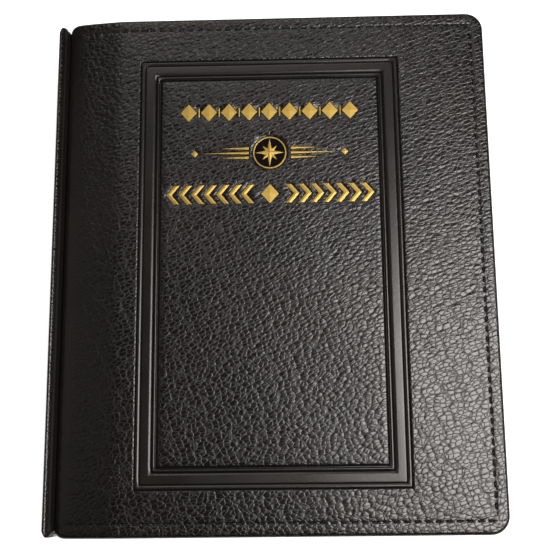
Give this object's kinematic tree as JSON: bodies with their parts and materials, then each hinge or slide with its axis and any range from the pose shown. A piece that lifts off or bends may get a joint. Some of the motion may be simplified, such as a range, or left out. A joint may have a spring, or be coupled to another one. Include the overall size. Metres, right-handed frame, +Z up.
{
  "type": "ring binder",
  "caption": "Leather ring binder for a pilot's loose-leaf manual, with sprung rings on the spine, hinged covers, index dividers and a pressed, foil-stamped front.",
  "frame": {"origin": "middle of the closed binder's footprint, on the surface that the back cover lies on", "axes": "+Z up from the back cover to the front cover, +Y to the head of the binder, +X from the spine to the fore-edge"},
  "size_m": [0.198, 0.235, 0.064],
  "materials": {
    "leather": "pebble-grained, satin, very dark brown",
    "board": "pressed fibre board",
    "lining": "smooth matt bonded leather",
    "thread": "waxed black thread",
    "gold_foil": "stamped gold foil",
    "plain_steel": "zinc-plated sheet steel",
    "plated_steel": "nickel plated",
    "paper": "uncoated thin paper",
    "divider_card": "laminated card"
  },
  "bodies": {
    "back_cover": {"back_leather": "leather", "back_board": "board", "back_lining": "lining", "back_stitching": "thread"},
    "spine": {"spine_leather": "leather", "spine_board": "board", "spine_lining": "lining", "front_hinge_leather": "leather", "back_hinge_leather": "leather", "ring_base_plate": "plain_steel", "spring_housing": "plated_steel", "housing_rivets": "plated_steel", "lever_pins": "plain_steel"},
    "front_cover": {"front_leather": "leather", "front_board": "board", "front_lining": "lining", "front_stitching": "thread", "compass_rose": "gold_foil", "upper_foil_band": "gold_foil", "lower_foil_band": "gold_foil"},
    "upper_ring_set": {"upper_blade": "plain_steel", "upper_ring_1": "plated_steel", "upper_ring_2": "plated_steel", "upper_ring_3": "plated_steel", "upper_ring_4": "plated_steel", "upper_ring_5": "plated_steel", "upper_ring_6": "plated_steel", "upper_ring_7": "plated_steel"},
    "lower_ring_set": {"lower_blade": "plain_steel", "lower_ring_1": "plated_steel", "lower_ring_2": "plated_steel", "lower_ring_3": "plated_steel", "lower_ring_4": "plated_steel", "lower_ring_5": "plated_steel", "lower_ring_6": "plated_steel", "lower_ring_7": "plated_steel"},
    "head_trigger": {"head_lever": "plated_steel"},
    "tail_trigger": {"tail_lever": "plated_steel"},
    "leaf_stack": {"leaves_1": "paper", "divider_1": "divider_card", "leaves_2": "paper", "divider_2": "divider_card", "leaves_3": "paper", "divider_3": "divider_card", "leaves_4": "paper", "divider_4": "divider_card"},
    "front_leaf_margins": {"front_margins": "paper"},
    "front_leaf_pages": {"front_leaves": "paper"}
  },
  "joints": [
    {"name": "spine_hinge", "type": "hinge", "parent": "back_cover", "child": "spine", "pos_m": [-0.094, 0, 0.005], "axis": [0, -1, 0], "range_deg": [0, 90]},
    {"name": "front_hinge", "type": "hinge", "parent": "spine", "child": "front_cover", "pos_m": [-0.094, 0, 0.059], "axis": [0, -1, 0], "range_deg": [0, 90]},
    {"name": "ring_open", "type": "hinge", "parent": "spine", "child": "upper_ring_set", "pos_m": [-0.0905, 0, 0.0465], "axis": [0, -1, 0], "range_deg": [0, 8]},
    {"name": "lower_rings_follow", "type": "hinge", "parent": "spine", "child": "lower_ring_set", "pos_m": [-0.0905, 0, 0.0175], "axis": [0, -1, 0], "range_deg": [-8, 0]},
    {"name": "head_trigger_press", "type": "hinge", "parent": "spine", "child": "head_trigger", "pos_m": [-0.0908, 0.1055, 0.032], "axis": [0, 0, 1], "range_deg": [0, 20]},
    {"name": "tail_trigger_press", "type": "hinge", "parent": "spine", "child": "tail_trigger", "pos_m": [-0.0908, -0.1055, 0.032], "axis": [0, 0, -1], "range_deg": [0, 20]},
    {"name": "stack_ride", "type": "hinge", "parent": "spine", "child": "leaf_stack", "pos_m": [-0.065, 0, 0.032], "axis": [0, -1, 0], "range_deg": [-90, 0]},
    {"name": "front_margins_turn", "type": "hinge", "parent": "spine", "child": "front_leaf_margins", "pos_m": [-0.065, 0, 0.032], "axis": [0, -1, 0], "range_deg": [0, 120]},
    {"name": "front_pages_bend", "type": "hinge", "parent": "front_leaf_margins", "child": "front_leaf_pages", "pos_m": [-0.0118, 0, 0.0311], "axis": [0, -1, 0], "range_deg": [-30, 0]}
  ],
  "couplings": [
    {"joint": "lower_rings_follow", "follows": "ring_open", "ratio": -1},
    {"joint": "head_trigger_press", "follows": "ring_open", "ratio": 2.5},
    {"joint": "tail_trigger_press", "follows": "ring_open", "ratio": 2.5},
    {"joint": "stack_ride", "follows": "spine_hinge", "ratio": -1},
    {"joint": "front_margins_turn", "follows": "front_hinge", "ratio": 1.3333},
    {"joint": "front_pages_bend", "follows": "front_hinge", "ratio": -0.33333}
  ]
}
